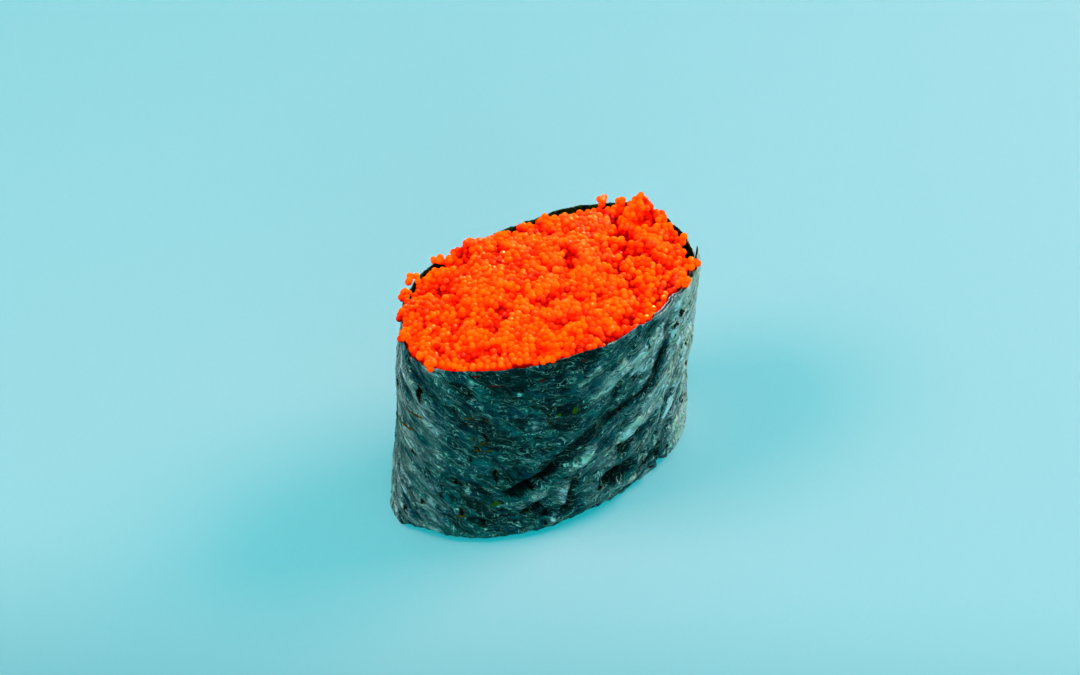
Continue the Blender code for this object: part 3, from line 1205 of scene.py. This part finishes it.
@dataclass
class HeapShape:
    """The outline of the heap of roe above the band. Sizes are in millimetres.

    Attributes:
        band: The oval that holds it.
        crown: How much higher its middle stands than its edge.
        edge: How it meets the band all round.
        lumps: x, y, height and radius of each lump.
        crevices: A line, a depth and a width for each crevice.
        clump_size: How far apart its small clumps are.
        clump_gap: How deep the gaps between them go.
        roughness: How uneven they are.
    """

    band: BandShape
    crown: float = 2.2
    edge: tuple[EdgeStretch, ...] = rows_of(
        EdgeStretch,
        (-180, 0.5, 0.35), (-165, 0.4, 0.25), (-150, 0.2, 0.1), (-130, 0.3, 0.1), (-100, 0.3, 0.1),
        (-75, -0.1, 0.4), (-52, -0.6, 0.9), (-32, 0.4, 0.2), (-14, -0.3, 1.5), (0, 0.2, 0.7),
        (9, -0.2, 1.0), (22, 0.6, 0.3), (40, -0.2, 0.7), (52, -0.6, 0.9), (66, -0.2, 0.7),
        (85, 0.2, 0.35), (97, 0.2, 0.4), (101, -0.2, 1.5), (105, 0.3, 0.3), (118, 0.4, 0.2),
        (133, 0.0, 0.8), (145, 0.6, 0.1), (180, 0.5, 0.35),
    )
    lumps: tuple[tuple[float, float, float, float], ...] = (
        (21.0, 6.6, 3.4, 2.6),
        (23.0, 3.6, 0.9, 2.2),
        (-5.2, 12.8, 2.2, 2.2),
        (7.0, 1.5, 1.2, 4.8),
        (18.0, -1.0, 1.0, 4.0),
        (-9.5, 0.5, 0.7, 6.0),
        (-19.0, 4.0, 1.0, 3.4),
        (-1.5, -10.5, 0.9, 4.0),
        (11.5, 9.5, 0.8, 3.5),
    )
    crevices: tuple[tuple[Line, float, float], ...] = (
        (((18.9, 8.8), (16.8, 5.0), (16.0, 2.0), (13.6, -0.6), (10.0, -3.4)), 1.7, 0.75),
        (((7.2, 4.6), (5.6, 3.2), (4.8, 0.6), (3.4, -0.6)), 1.6, 0.75),
        (((4.5, -13.0), (10.5, -11.6)), 1.7, 1.1),
        (((-16.5, 8.0), (-13.0, 6.5)), 1.3, 1.0),
        (((-9.0, -3.5), (-6.0, -5.5)), 1.4, 0.9),
        (((-19.5, -1.0), (-17.0, -5.0)), 1.2, 0.9),
        (((-13.5, -9.5), (-15.5, -8.0)), 1.2, 0.9),
        (((14.5, -7.5), (18.5, -6.0)), 1.0, 0.9),
    )
    clump_size: float = 3.6
    clump_gap: float = 1.1
    roughness: float = 0.85

    def at_edge(self, angle: Array) -> tuple[Array, Array]:
        """The level and the inset of the heap's edge in each direction, from -pi to pi."""
        degrees, levels, insets = np.array([(at.degrees, at.level, at.inset) for at in self.edge]).T
        return np.interp(np.degrees(angle), degrees, levels), np.interp(np.degrees(angle), degrees, insets)

    def inside(self, x: Array, y: Array) -> tuple[Array, Array]:
        """How far points are inside the band.

        Args:
            x: First coordinates.
            y: Second coordinates.

        Returns:
            The distance to the wall's middle, negative outside, and the angle of the nearest place on it.
        """
        angles = np.linspace(-math.pi, math.pi, 721)
        oval = self.band.wall(angles, np.full(len(angles), self.band.height), 0)[:, :2]
        outward = self.band.outward(angles)
        offset = np.stack([x, y], axis=-1)[..., None, :] - oval
        nearest = np.argmin((offset**2).sum(axis=-1), axis=-1)
        step = np.take_along_axis(offset, nearest[..., None, None], axis=-2)[..., 0, :]
        return -(step * outward[nearest]).sum(axis=-1), angles[nearest]

    def facing(self, x: Array, y: Array) -> Array:
        """Rows of the unit vectors that stand on the heap as if it had no gaps.

        Args:
            x: First coordinates.
            y: Second coordinates.

        Returns:
            A row for each place.
        """
        step = 0.5
        slope_x = (self.envelope(x + step, y) - self.envelope(x - step, y)) / (2 * step)
        slope_y = (self.envelope(x, y + step) - self.envelope(x, y - step)) / (2 * step)
        way = np.stack([-slope_x, -slope_y, np.ones(np.shape(x))], axis=-1)
        return way / np.linalg.norm(way, axis=-1, keepdims=True)

    def envelope(self, x: Array, y: Array) -> Array:
        """Heights of the heap as if it had no gaps.

        Args:
            x: First coordinates.
            y: Second coordinates.

        Returns:
            A height for each place.
        """
        across, deep = x / self.band.half_length, (y - self.band.skew * x) / self.band.half_width
        reach = across**2 + deep**2
        level, _ = self.at_edge(np.arctan2(deep, across))
        z = self.band.height + level * smooth_step((reach - 0.35) / 0.65)
        z = z + self.crown * np.clip(1 - reach, 0, None)
        for lump_x, lump_y, height, radius in self.lumps:
            z = z + height * bump_at(np.hypot(x - lump_x, y - lump_y), radius)
        return z

    def height(self, x: Array, y: Array) -> Array:
        """Heights of the heap's outline, with its crevices and clumps.

        Args:
            x: First coordinates.
            y: Second coordinates.

        Returns:
            A height for each place.
        """
        flat = np.zeros(np.size(x))
        place = np.column_stack([np.ravel(x), np.ravel(y), flat])
        warp = np.column_stack([noise_at(place, (3.0,) * 3, 41.0), noise_at(place, (3.0,) * 3, 43.0), flat])
        rows = ((place + warp * 1.2) / self.clump_size).tolist()
        near = np.array([noise.voronoi(row)[0][:2] for row in rows])
        open_here = smooth_step(noise_at(place, (4.0,) * 3, 51.0) * 2.2 + 0.45)
        gap = (1 - smooth_step((near[:, 1] - near[:, 0]) / 0.30)) * open_here
        billow = 0.5 * noise_at(place, (2.8,) * 3, 2.5) + 0.5 * noise_at(place, (1.3,) * 3, 6.5)
        z = self.envelope(x, y) + (self.roughness * billow - self.clump_gap * gap).reshape(np.shape(x))
        bent_x, bent_y, _ = (place + 1.5 * warp).T
        broken = smooth_step(noise_at(place, (2.2,) * 3, 61.0) * 1.6 + 0.75)
        for line, depth, width in self.crevices:
            cut = depth * (0.35 + 0.65 * broken) * bump_at(nearest_on_line(bent_x, bent_y, line)[0], width)
            z = z - cut.reshape(np.shape(x))
        return z


@dataclass
class Egg:
    """One egg: its middle and its radius, in millimetres."""

    x: float
    y: float
    z: float
    radius: float


class Pile:
    """Eggs, kept by the squares of a grid so that neighbours are found fast.

    Attributes:
        square: A square's side, in millimetres.
        overlap: How near two eggs' middles come, as a share of the sum of their radii.
    """

    square = 1.25
    overlap = 0.76

    def __init__(self) -> None:
        """Starts with no eggs."""
        self.eggs: list[Egg] = []
        self.squares: dict[tuple[int, int], list[Egg]] = {}

    def add(self, egg: Egg) -> None:
        """Adds an egg."""
        self.eggs.append(egg)
        self.squares.setdefault((int(egg.x // self.square), int(egg.y // self.square)), []).append(egg)

    def near(self, x: float, y: float) -> list[Egg]:
        """The eggs of the squares round a place.

        Args:
            x: Its first coordinate.
            y: Its second coordinate.

        Returns:
            The eggs, square by square.
        """
        i, j = int(x // self.square), int(y // self.square)
        squares = [(a, b) for a in (i - 1, i, i + 1) for b in (j - 1, j, j + 1)]
        return [egg for square in squares for egg in self.squares.get(square, ())]

    def rest(self, x: float, y: float, radius: float, floor: float) -> tuple[float, Egg | None]:
        """Where an egg comes to rest.

        Args:
            x: Its place.
            y: Its place.
            radius: Its radius.
            floor: How high it lies with no egg under it.

        Returns:
            How high its middle lies, and the egg that it lies on, if any.
        """
        z, under = floor, None
        for egg in self.near(x, y):
            reach = self.overlap * (radius + egg.radius)
            flat = (x - egg.x) ** 2 + (y - egg.y) ** 2
            if flat < reach * reach:
                top = egg.z + math.sqrt(reach * reach - flat)
                if top > z:
                    z, under = top, egg
        return z, under


@dataclass
class RoeHeap:
    """The roe: single eggs let fall over a glazed core until they reach the heap's outline.

    Attributes:
        shape: The heap's outline.
        shift: Where the band's middle lies in the frame.
        radius: An egg's radius, in millimetres.
        uneven: The spread of their radii, as a share.
        bed_depth: How far under the outline the lowest eggs lie.
        glaze_depth: How far under it the core's glazed surface lies.
        side_gap: How far inside the wall the core's sides are.
        tries: How many eggs are let fall.
        merging: How far light falls on an egg as on the whole heap, as it does where eggs are clear.
        painted_side_shade: How much deeper the colour is painted round an egg's sides than on its top, as
            painted shade.
        fade: Over what depth, in millimetres, the painted shade goes to its deepest.
        patchy: How much of the colour's depth comes in patches.
        seed: What the random draws start from.
        clusters: The eggs that cling to the rim.
    """

    shape: HeapShape
    shift: Array
    radius: float = 0.53
    uneven: float = 0.07
    bed_depth: float = 2.6
    glaze_depth: float = 0.50
    side_gap: float = 1.8
    tries: int = 34000
    merging: float = 0.8
    painted_side_shade: float = 0.28
    fade: float = 2.0
    patchy: float = 0.95
    seed: int = 11
    clusters: tuple[Cluster, ...] = rows_of(
        Cluster,
        (168, -0.2, 0.5, 5), (152, 0.2, 0.5, 4), (139, 0.2, 0.7, 6), (128, 0.3, 0.5, 5), (112, 0.1, 0.6, 5),
        (46, 0.0, 0.2, 5, 0.35), (37, -0.4, 0.1, 4, 0.35), (24, -0.1, 0.4, 4), (11, -0.5, 0.3, 6),
        (-10, 0.3, 0.3, 2), (-31, 0.1, 0.3, 8), (-43, 0.0, 0.2, 7), (-113, 0.3, 0.1, 4), (-160, 0.1, 0.3, 4),
    )

    def radii(self, random: np.random.Generator, count: int) -> Array:
        """The radii of this many eggs."""
        return self.radius * (1 + self.uneven * np.clip(random.normal(size=count), -2, 2))

    def fall(self, pile: Pile) -> None:
        """Lets eggs fall one after the other. Each rolls to a hollow, and stays if it isn't too high.

        Args:
            pile: The eggs, to which more are added.
        """
        random = np.random.default_rng(self.seed)
        band = self.shape.band
        step, half_x, half_y = 0.3, 27, 18
        rows, columns = np.arange(-half_x, half_x + step, step), np.arange(-half_y, half_y + step, step)
        grid_x, grid_y = np.meshgrid(rows, columns, indexing="ij")
        inside, angle = self.shape.inside(grid_x, grid_y)
        _, inset = self.shape.at_edge(angle)
        outline = self.shape.height(grid_x, grid_y)
        near_wall, past_wall, side_drop = 0.7, 0.4, 4.0
        nudge, most_nudges, sunk = 0.2, 16, 0.35
        on_rim = band.height + 0.3
        over_wall = inside < near_wall
        floor = np.where(inside > self.side_gap, outline - self.bed_depth, band.height - side_drop)
        floor = np.where(over_wall, on_rim, floor) + 0.5 * self.radius
        ceiling = np.where(over_wall, np.minimum(outline, on_rim + 1.0), outline)
        ceiling = np.where(inside < np.maximum(inset, -past_wall), -np.inf, ceiling)
        floor_rows, ceiling_rows = floor.tolist(), ceiling.tolist()

        x = random.uniform(-1, 1, self.tries) * (band.half_length + 0.6)
        y = random.uniform(-1, 1, self.tries) * (band.half_width + 1.6)
        radii = self.radii(random, self.tries)
        for px, py, radius in zip(x.tolist(), y.tolist(), radii.tolist()):
            i, j = round((px + half_x) / step), round((py + half_y) / step)
            if ceiling_rows[i][j] < 0:
                continue
            z, under = pile.rest(px, py, radius, floor_rows[i][j])
            for _ in range(most_nudges):
                if under is None:
                    break
                away = math.hypot(px - under.x, py - under.y) or 1.0
                nx = px + nudge * radius * (px - under.x) / away
                ny = py + nudge * radius * (py - under.y) / away
                ni, nj = round((nx + half_x) / step), round((ny + half_y) / step)
                nz, next_under = pile.rest(nx, ny, radius, floor_rows[ni][nj])
                if nz >= z or ceiling_rows[ni][nj] < 0:
                    break
                px, py, z, under, i, j = nx, ny, nz, next_under, ni, nj
            if z <= ceiling_rows[i][j] - sunk * radius:
                pile.add(Egg(px, py, z, radius))

    def cling(self, pile: Pile) -> None:
        """Adds the clusters: each egg touches another or the rim, and cuts into none.

        Args:
            pile: The eggs, to which more are added.
        """
        random = np.random.default_rng(self.seed + 2)
        band = self.shape.band
        cuts, touches = 0.72, 0.90  # how far apart eggs' middles are, as a share of their radii's sum
        for cluster in self.clusters:
            angle = np.radians([cluster.degrees])
            middle = band.wall(angle, np.array([band.height]), cluster.out)[0] + (0, 0, cluster.up)
            left = cluster.count
            offsets = random.normal(0, cluster.spread, (900, 3)) * (1.2, 1.2, 0.8)
            spots = middle + offsets[np.argsort((offsets**2).sum(axis=1))]
            inside, _ = self.shape.inside(spots[:, 0], spots[:, 1])
            radii = self.radii(random, len(spots))
            for (x, y, z), within, radius in zip(spots.tolist(), inside.tolist(), radii.tolist()):
                if left == 0:
                    break
                over_wall = abs(within) < 0.15 + 0.6 * radius
                if over_wall and z < band.height + 0.2 + 0.6 * radius:
                    continue
                gaps = [
                    math.dist((x, y, z), (egg.x, egg.y, egg.z)) / (radius + egg.radius)
                    for egg in pile.near(x, y)
                ]
                if cuts < min(gaps, default=math.inf) < touches:
                    pile.add(Egg(x, y, z, radius))
                    left -= 1

    def build(self) -> list[bpy.types.Object]:
        """The eggs and the core under them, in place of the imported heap.

        Returns:
            The eggs and the core.
        """
        pile = Pile()
        self.fall(pile)
        self.cling(pile)
        table = np.array([(egg.x, egg.y, egg.z, egg.radius) for egg in pile.eggs])
        below = self.shape.height(table[:, 0], table[:, 1]) - self.glaze_depth - table[:, 2]
        hidden = (below > 0.55 * self.radius) & (self.shape.inside(table[:, 0], table[:, 1])[0] > 1.6)
        table = table[~hidden]
        log.info("roe: %d eggs came to rest and %d of them show", len(pile.eggs), len(table))
        random = np.random.default_rng(self.seed + 1)
        # painted shade: eggs lying deeper under the heap's outline get a deeper colour, with patches of tone
        # that differ at random
        depth = self.shape.envelope(table[:, 0], table[:, 1]) - table[:, 2]
        patches = noise_at(table[:, :3] * (1, 1, 0), (2.6,) * 3, 71.0)
        patches += 0.5 * noise_at(table[:, :3], (1.2,) * 3, 73.0)
        deep = (depth - 0.1) / self.fade - self.patchy * patches
        values = {"tone": random.uniform(size=len(table)), "deep": deep}
        squash = 1 + 0.05 * np.clip(random.normal(size=(len(table), 3)), -2, 2)
        turns = random_turns(random, len(table)) * (table[:, 3] * MM)[:, None, None] * squash[:, None, :]
        centres = (table[:, :3] + (*self.shift, 0)) * MM
        shape = ball(subdivisions=2, radius=1.03)
        finish = RoeFinish()
        data = scattered(shape, turns, centres, values)
        way = data.places - np.repeat(centres, len(shape[0]), axis=0)
        way /= np.linalg.norm(way, axis=1, keepdims=True)
        heap = np.repeat(self.shape.facing(table[:, 0], table[:, 1]), len(shape[0]), axis=0)
        lit = (1 - self.merging) * way + self.merging * heap
        data.values["lit"] = lit / np.linalg.norm(lit, axis=1, keepdims=True)
        # painted shade: each egg's lower side is coloured deeper than its top
        under = 0.5 - (way * heap).sum(axis=1)
        data.values["deep"] = np.clip(data.values["deep"] + self.painted_side_shade * under, -0.4, 1)
        return [data.piece("roe_eggs", finish.material("roe", True), "roe"), self.core(finish)]

    def core(self, finish: RoeFinish) -> bpy.types.Object:
        """The heap's core: a glazed, bumpy surface between the eggs, and plain sides down to the rice.

        Args:
            finish: The finish that it shares with the eggs.

        Returns:
            The piece.
        """
        segments, rings = 320, 75
        band = self.shape.band
        glaze_cell, glaze_relief = 1.9, 0.7  # both as shares of an egg's radius
        angle = np.linspace(-math.pi, math.pi, segments, endpoint=False)
        share = np.linspace(0, 1, rings)[1:]
        _, inset = self.shape.at_edge(angle)
        margin = np.maximum(inset, 0) + 1.0
        edge = band.wall(angle, np.full(segments, band.height), -margin)
        x, y = edge[:, :1] * share, edge[:, 1:2] * share
        place = np.column_stack([x.ravel(), y.ravel(), np.zeros(x.size)]) / (glaze_cell * self.radius)
        near = np.array([noise.voronoi(row)[0][0] for row in place.tolist()]).reshape(x.shape)
        z = self.shape.height(x, y) - self.glaze_depth + glaze_relief * self.radius * (0.5 - near)
        z = z - 0.8 * smooth_step((share - 0.92) / 0.08)
        top, bottom = float(z[:, 0].mean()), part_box("roe_heap")[0].z / MM
        layers = [np.stack([x, y, z], axis=-1)]
        for height in (band.height - 5.0, bottom):
            ring = band.wall(angle, np.full(segments, height), -(margin + self.side_gap))
            layers.append(ring[:, None])
        grid = np.concatenate(layers, axis=1)
        count = grid.shape[1]
        places = np.concatenate([grid.reshape(-1, 3), [(0, 0, top), (0, 0, bottom)]])
        faces: list[Sequence[int]] = []
        for i in range(segments):
            here, beside = i * count, (i + 1) % segments * count
            faces.append((segments * count, here, beside))
            faces.extend((here + k, here + k + 1, beside + k + 1, beside + k) for k in range(count - 1))
            faces.append((segments * count + 1, beside + count - 1, here + count - 1))
        depth = self.shape.envelope(places[:, 0], places[:, 1]) - places[:, 2]
        places[:, :2] += self.shift
        # painted shade: the glaze is coloured deeper where it lies deeper
        values = {"tone": np.full(len(places), 0.8), "deep": np.clip((depth + 0.3) / 2.2, 0, 1)}
        data = MeshData(places * MM, faces, None, values)
        return data.piece("roe_core", finish.material("roe glaze", False), "roe", "roe_heap")


@dataclass
class RiceBed:
    """The rice: grains at the open foot, over a plain core. Sizes are in millimetres.

    Attributes:
        band: The oval that holds it.
        shift: Where the band's middle lies in the frame.
        grain_length: A grain's length.
        grain_width: Its width.
        grains: How many grains show.
        seed: What the random draws start from.
    """

    band: BandShape
    shift: Array
    grain_length: float = 5.4
    grain_width: float = 2.1
    grains: int = 420
    seed: int = 5

    def build(self) -> list[bpy.types.Object]:
        """The core and the grains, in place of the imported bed."""
        material = RiceFinish().material()
        return [self.core(material), self.loose(material)]

    def core(self, material: bpy.types.Material) -> bpy.types.Object:
        """The bed above the grains.

        Args:
            material: Its finish.

        Returns:
            The piece.
        """
        segments, inset, foot = 120, 2.4, 1.3
        angle = np.linspace(0, 2 * math.pi, segments, endpoint=False)
        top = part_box("rice_bed")[1].z / MM
        rows = [(0.6, foot), (0.9, 1.4), (0.97, 2.2), (1.0, 4.0), (1.0, top - 1), (0.96, top)]
        rings = [self.band.wall(angle, np.full(segments, z), -inset) * (share, share, 1) for share, z in rows]
        places = np.concatenate([*rings, [(0, 0, foot), (0, 0, top)]])
        places[:, :2] += self.shift
        last = (len(rows) - 1) * segments
        faces: list[Sequence[int]] = []
        for i in range(segments):
            j = (i + 1) % segments
            faces.append((last + segments, j, i))
            faces.extend((k + i, k + j, k + segments + j, k + segments + i) for k in range(0, last, segments))
            faces.append((last + segments + 1, last + i, last + j))
        return MeshData(places * MM, faces).piece("rice_core", material, "rice", "rice_bed")

    def loose(self, material: bpy.types.Material) -> bpy.types.Object:
        """The grains at the foot, pressed flat where they rest.

        Args:
            material: Its finish.

        Returns:
            The piece.
        """
        random = np.random.default_rng(self.seed)
        angle = random.uniform(0, 2 * math.pi, self.grains)
        share = np.sqrt(random.uniform(0, 1, self.grains))
        centre = self.band.wall(angle, np.full(self.grains, 1.0), -4.0)
        centre[:, :2] *= share[:, None]
        centre[:, 2] = random.uniform(0.6, 1.9, self.grains)
        heading = random.uniform(0, math.pi, self.grains)
        tilt = random.normal(0, 0.16, self.grains)
        flat = np.stack([np.cos(heading), np.sin(heading), np.zeros(self.grains)], axis=1)
        along = flat * np.cos(tilt)[:, None] + np.outer(np.sin(tilt), (0, 0, 1))
        side = np.stack([-np.sin(heading), np.cos(heading), np.zeros(self.grains)], axis=1)
        up = np.cross(along, side)
        size = 1 + 0.08 * np.clip(random.normal(size=(self.grains, 3)), -2, 2)
        sizes = size * np.array([self.grain_length, self.grain_width, self.grain_width * 0.85]) / 2
        turns = np.stack([along, side, up], axis=2) * sizes[:, None, :] * MM
        centre[:, :2] += self.shift
        shape = ball(subdivisions=3, radius=1)
        data = scattered(shape, turns, centre * MM, {})
        data.places[:, 2] = np.maximum(data.places[:, 2], 0.02 * MM)
        return data.piece("rice_grains", material, "rice")


@dataclass(frozen=True)
class SoftLight:
    """A large square lamp that looks at the food.

    Attributes:
        name: Its name.
        azimuth: Where it stands, in degrees from the front, positive to the right.
        elevation: How high it stands, in degrees.
        distance: How far away it is, in metres.
        size: Its side, in metres.
        power: Its power, in watts.
        colour: Its colour.
        glints: Whether it only shows in reflections.
    """

    name: str
    azimuth: float
    elevation: float
    distance: float
    size: float
    power: float
    colour: Colour = LAMP_COLOUR
    glints: bool = False

    def build(self, target: Vector) -> None:
        """Sets the lamp up, looking at target.

        Args:
            target: Where it looks.
        """
        lamp = bpy.data.lights.new(self.name, "AREA")
        lamp.shape = "SQUARE"
        lamp.size, lamp.energy, lamp.color = self.size, self.power, self.colour
        made = bpy.data.objects.new(self.name, lamp)
        made.visible_diffuse = not self.glints
        bpy.context.scene.collection.objects.link(made)
        stand(made, target, self.azimuth, self.elevation, self.distance)


def stand(made: bpy.types.Object, target: Vector, azimuth: float, elevation: float, distance: float) -> None:
    """Puts a lamp or a camera round a target, so that it looks there.

    Args:
        made: What is placed.
        target: Where it looks.
        azimuth: Where it stands, in degrees from the front, which is at -Y, and positive to the right.
        elevation: How high it stands, in degrees.
        distance: How far away it is, in metres.
    """
    a, e = math.radians(azimuth), math.radians(elevation)
    way = Vector((math.sin(a) * math.cos(e), -math.cos(a) * math.cos(e), math.sin(e)))
    made.location = target + way * distance
    made.rotation_euler = (target - made.location).to_track_quat("-Z", "Y").to_euler()


@dataclass
class Studio:
    """The plain floor, the soft lights and the camera. Sizes are in metres.

    Attributes:
        floor_colour: The floor's colour.
        floor_painted_shade: What the colour is multiplied by in front of the food, a painted shadow.
        floor_painted_glow: A painted glow, the blue light it sends out although it is no lamp.
        room_light: How strong the light from all round is.
        azimuth: Where the camera stands, in degrees from the front.
        elevation: How far it looks down.
        distance: How far it is from where it looks.
        aim: Where it looks on the floor, from the band's middle, in millimetres.
        lens: Its focal length, in millimetres.
        target: Where the lamps look.
        lights: The lamps.
    """

    floor_colour: Colour = (0.383, 0.245, 0.255)
    floor_painted_shade: Colour = (0.55, 0.50, 0.50)
    floor_painted_glow: Colour = (0.0, 0.257, 0.286)
    room_light: float = 0.5
    azimuth: float = -32.0
    elevation: float = 42.0
    distance: float = 0.4914
    aim: tuple[float, float] = (14.26, 24.25)
    lens: float = 100.0
    target: tuple[float, float, float] = (0.0, 0.0, 0.02)
    lights: tuple[SoftLight, ...] = (
        SoftLight("left light", -106, 50, 0.55, 0.24, 1.35),
        SoftLight("right light", 83, 42, 0.55, 0.26, 1.80),
        SoftLight("front light", -20, 12, 0.60, 0.40, 1.5, (0.40, 0.95, 1.0)),
        SoftLight("glint light", 120, 50, 0.60, 0.24, 36.0, glints=True),
    )

    def build(self, shift: Array) -> None:
        """Sets up the floor, the lights and the camera round the band's middle.

        Args:
            shift: Where the band's middle lies in the frame, in millimetres.
        """
        self._floor()
        for light in self.lights:
            light.build(Vector(self.target))
        world = bpy.data.worlds.new("soft room")
        world.use_nodes = True
        backdrop = world.node_tree.nodes["Background"]
        backdrop.inputs["Color"].default_value = (*ROOM_COLOUR, 1)
        backdrop.inputs["Strength"].default_value = self.room_light
        bpy.context.scene.world = world
        bpy.context.scene.view_settings.view_transform = "Standard"
        bpy.context.scene.view_settings.look = "High Contrast"
        camera = bpy.data.cameras.new("camera")
        camera.lens, camera.sensor_width = self.lens, 36.0
        camera.clip_start = 0.01
        made = bpy.data.objects.new("camera", camera)
        bpy.context.scene.collection.objects.link(made)
        target = Vector(((self.aim[0] + shift[0]) * MM, (self.aim[1] + shift[1]) * MM, 0))
        stand(made, target, self.azimuth, self.elevation, self.distance)
        bpy.context.scene.camera = made

    def _floor(self) -> None:
        """The floor: one wide matt sheet, with a painted shadow that darkens it softly in front of the food,
        and a painted glow.
        """
        sheet = NodeSheet("floor")
        place = sheet.node("ShaderNodeTexCoord", {}, {}, "Object")
        tooth = sheet.grain(place, (1500, 1500, 1500), 2.0)
        paler = tuple(min(1.0, value * 1.06) for value in self.floor_colour)
        darker = tuple(value * share for value, share in zip(self.floor_colour, self.floor_painted_shade))
        # painted shadow: the floor darkens softly in front of the food
        toward_front, dark_from, dark_to = (-0.62, -0.78, 0.0), 0.018, 0.080
        forward = sheet.vector("DOT_PRODUCT", place, toward_front, "Value")
        even = sheet.mix(tooth, self.floor_colour, paler)
        material = sheet.surface(
            Base_Color=sheet.mix(sheet.ramp(forward, dark_from, dark_to), even, darker),
            Roughness=0.75,
            Specular_IOR_Level=0.0,
            # painted glow: the floor sends out blue light of its own
            Emission_Color=(*self.floor_painted_glow, 1),
            Emission_Strength=1.0,
        )
        shape = bmesh.new()
        bmesh.ops.create_grid(shape, x_segments=1, y_segments=1, size=3.0)
        mesh = bpy.data.meshes.new("floor")
        shape.to_mesh(mesh)
        shape.free()
        mesh.materials.append(material)
        floor = bpy.data.objects.new("floor", mesh)
        bpy.context.scene.collection.objects.link(floor)


def band_shift(band: BandShape, wrap: NoriWrap) -> Array:
    """Where the band's middle lies in the frame.

    Args:
        band: The oval.
        wrap: The strip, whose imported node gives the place.

    Returns:
        x and y in millimetres.
    """
    turns = np.radians(np.linspace(wrap.start, wrap.end, 500))
    heights = np.linspace(0.4, band.height, 15)
    angle, z = (values.ravel() for values in np.meshgrid(turns, heights))
    places = band.wall(angle, z, wrap.layer(angle, z) + wrap.thickness / 2)[:, :2]
    low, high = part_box("nori_wrap")
    middle = np.array([low.x + high.x, low.y + high.y]) / 2 / MM
    return middle - (places.min(axis=0) + places.max(axis=0)) / 2


def main() -> None:
    """Builds the strip, the rice and the roe, then the studio round them."""
    logging.basicConfig(level=logging.INFO, format="%(name)s %(message)s")
    band = BandShape()
    wrap = NoriWrap(band, np.zeros(2))
    wrap.shift = band_shift(band, wrap)
    log.info("the band's middle lies at %s mm", np.round(wrap.shift, 3))
    wrap.build()
    RiceBed(band, wrap.shift).build()
    RoeHeap(HeapShape(band), wrap.shift).build()
    Studio().build(wrap.shift)


if __name__ == "__main__":
    main()
